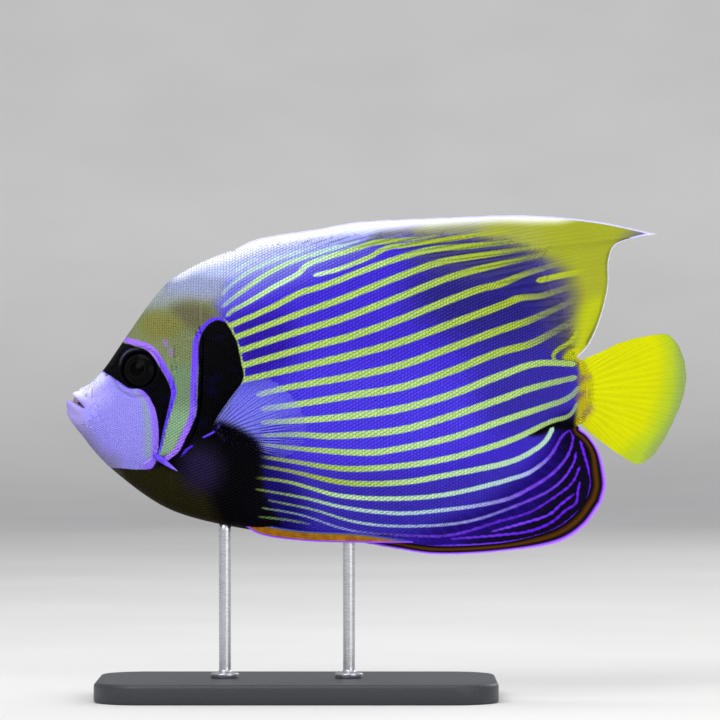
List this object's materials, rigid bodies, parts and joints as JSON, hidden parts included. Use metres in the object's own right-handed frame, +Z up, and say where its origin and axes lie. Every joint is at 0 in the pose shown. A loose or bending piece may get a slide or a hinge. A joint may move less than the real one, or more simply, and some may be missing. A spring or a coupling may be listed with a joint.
{
  "type": "emperor angelfish display model",
  "caption": "Life-size still model of an adult emperor angelfish, swimming, held on two rods over a flat display base.",
  "frame": {"origin": "on the underside of the display base, in the fish's plane of symmetry, 155 mm behind the tip of the lips", "axes": "+Z up, +X towards the tail, -Y out of the fish's left side"},
  "size_m": [0.3101, 0.11, 0.2414],
  "materials": {
    "skin": "moist scaled skin, blue-violet with yellow stripes",
    "face": "smooth pale violet skin",
    "fin": "thin rayed membrane, semi-gloss",
    "clear_fin": "thin see-through rayed membrane",
    "eye": "wet gloss",
    "base": "satin slate grey",
    "rod": "brushed"
  },
  "bodies": {
    "root": {"head": "face", "torso": "skin", "tail_stalk": "skin", "upper_lip": "face", "lower_jaw": "face", "eye_right": "eye", "eye_left": "eye", "gill_cover_right": "face", "gill_cover_left": "face", "cheek_spine_right": "face", "cheek_spine_left": "face", "dorsal_fin": "fin", "anal_fin": "fin", "caudal_fin": "fin", "pectoral_fin_right": "clear_fin", "pectoral_fin_left": "clear_fin", "pelvic_fin_right": "fin", "pelvic_fin_left": "fin", "stand_base": "base", "stand_rod_front": "rod", "stand_rod_rear": "rod"}
  },
  "joints": []
}
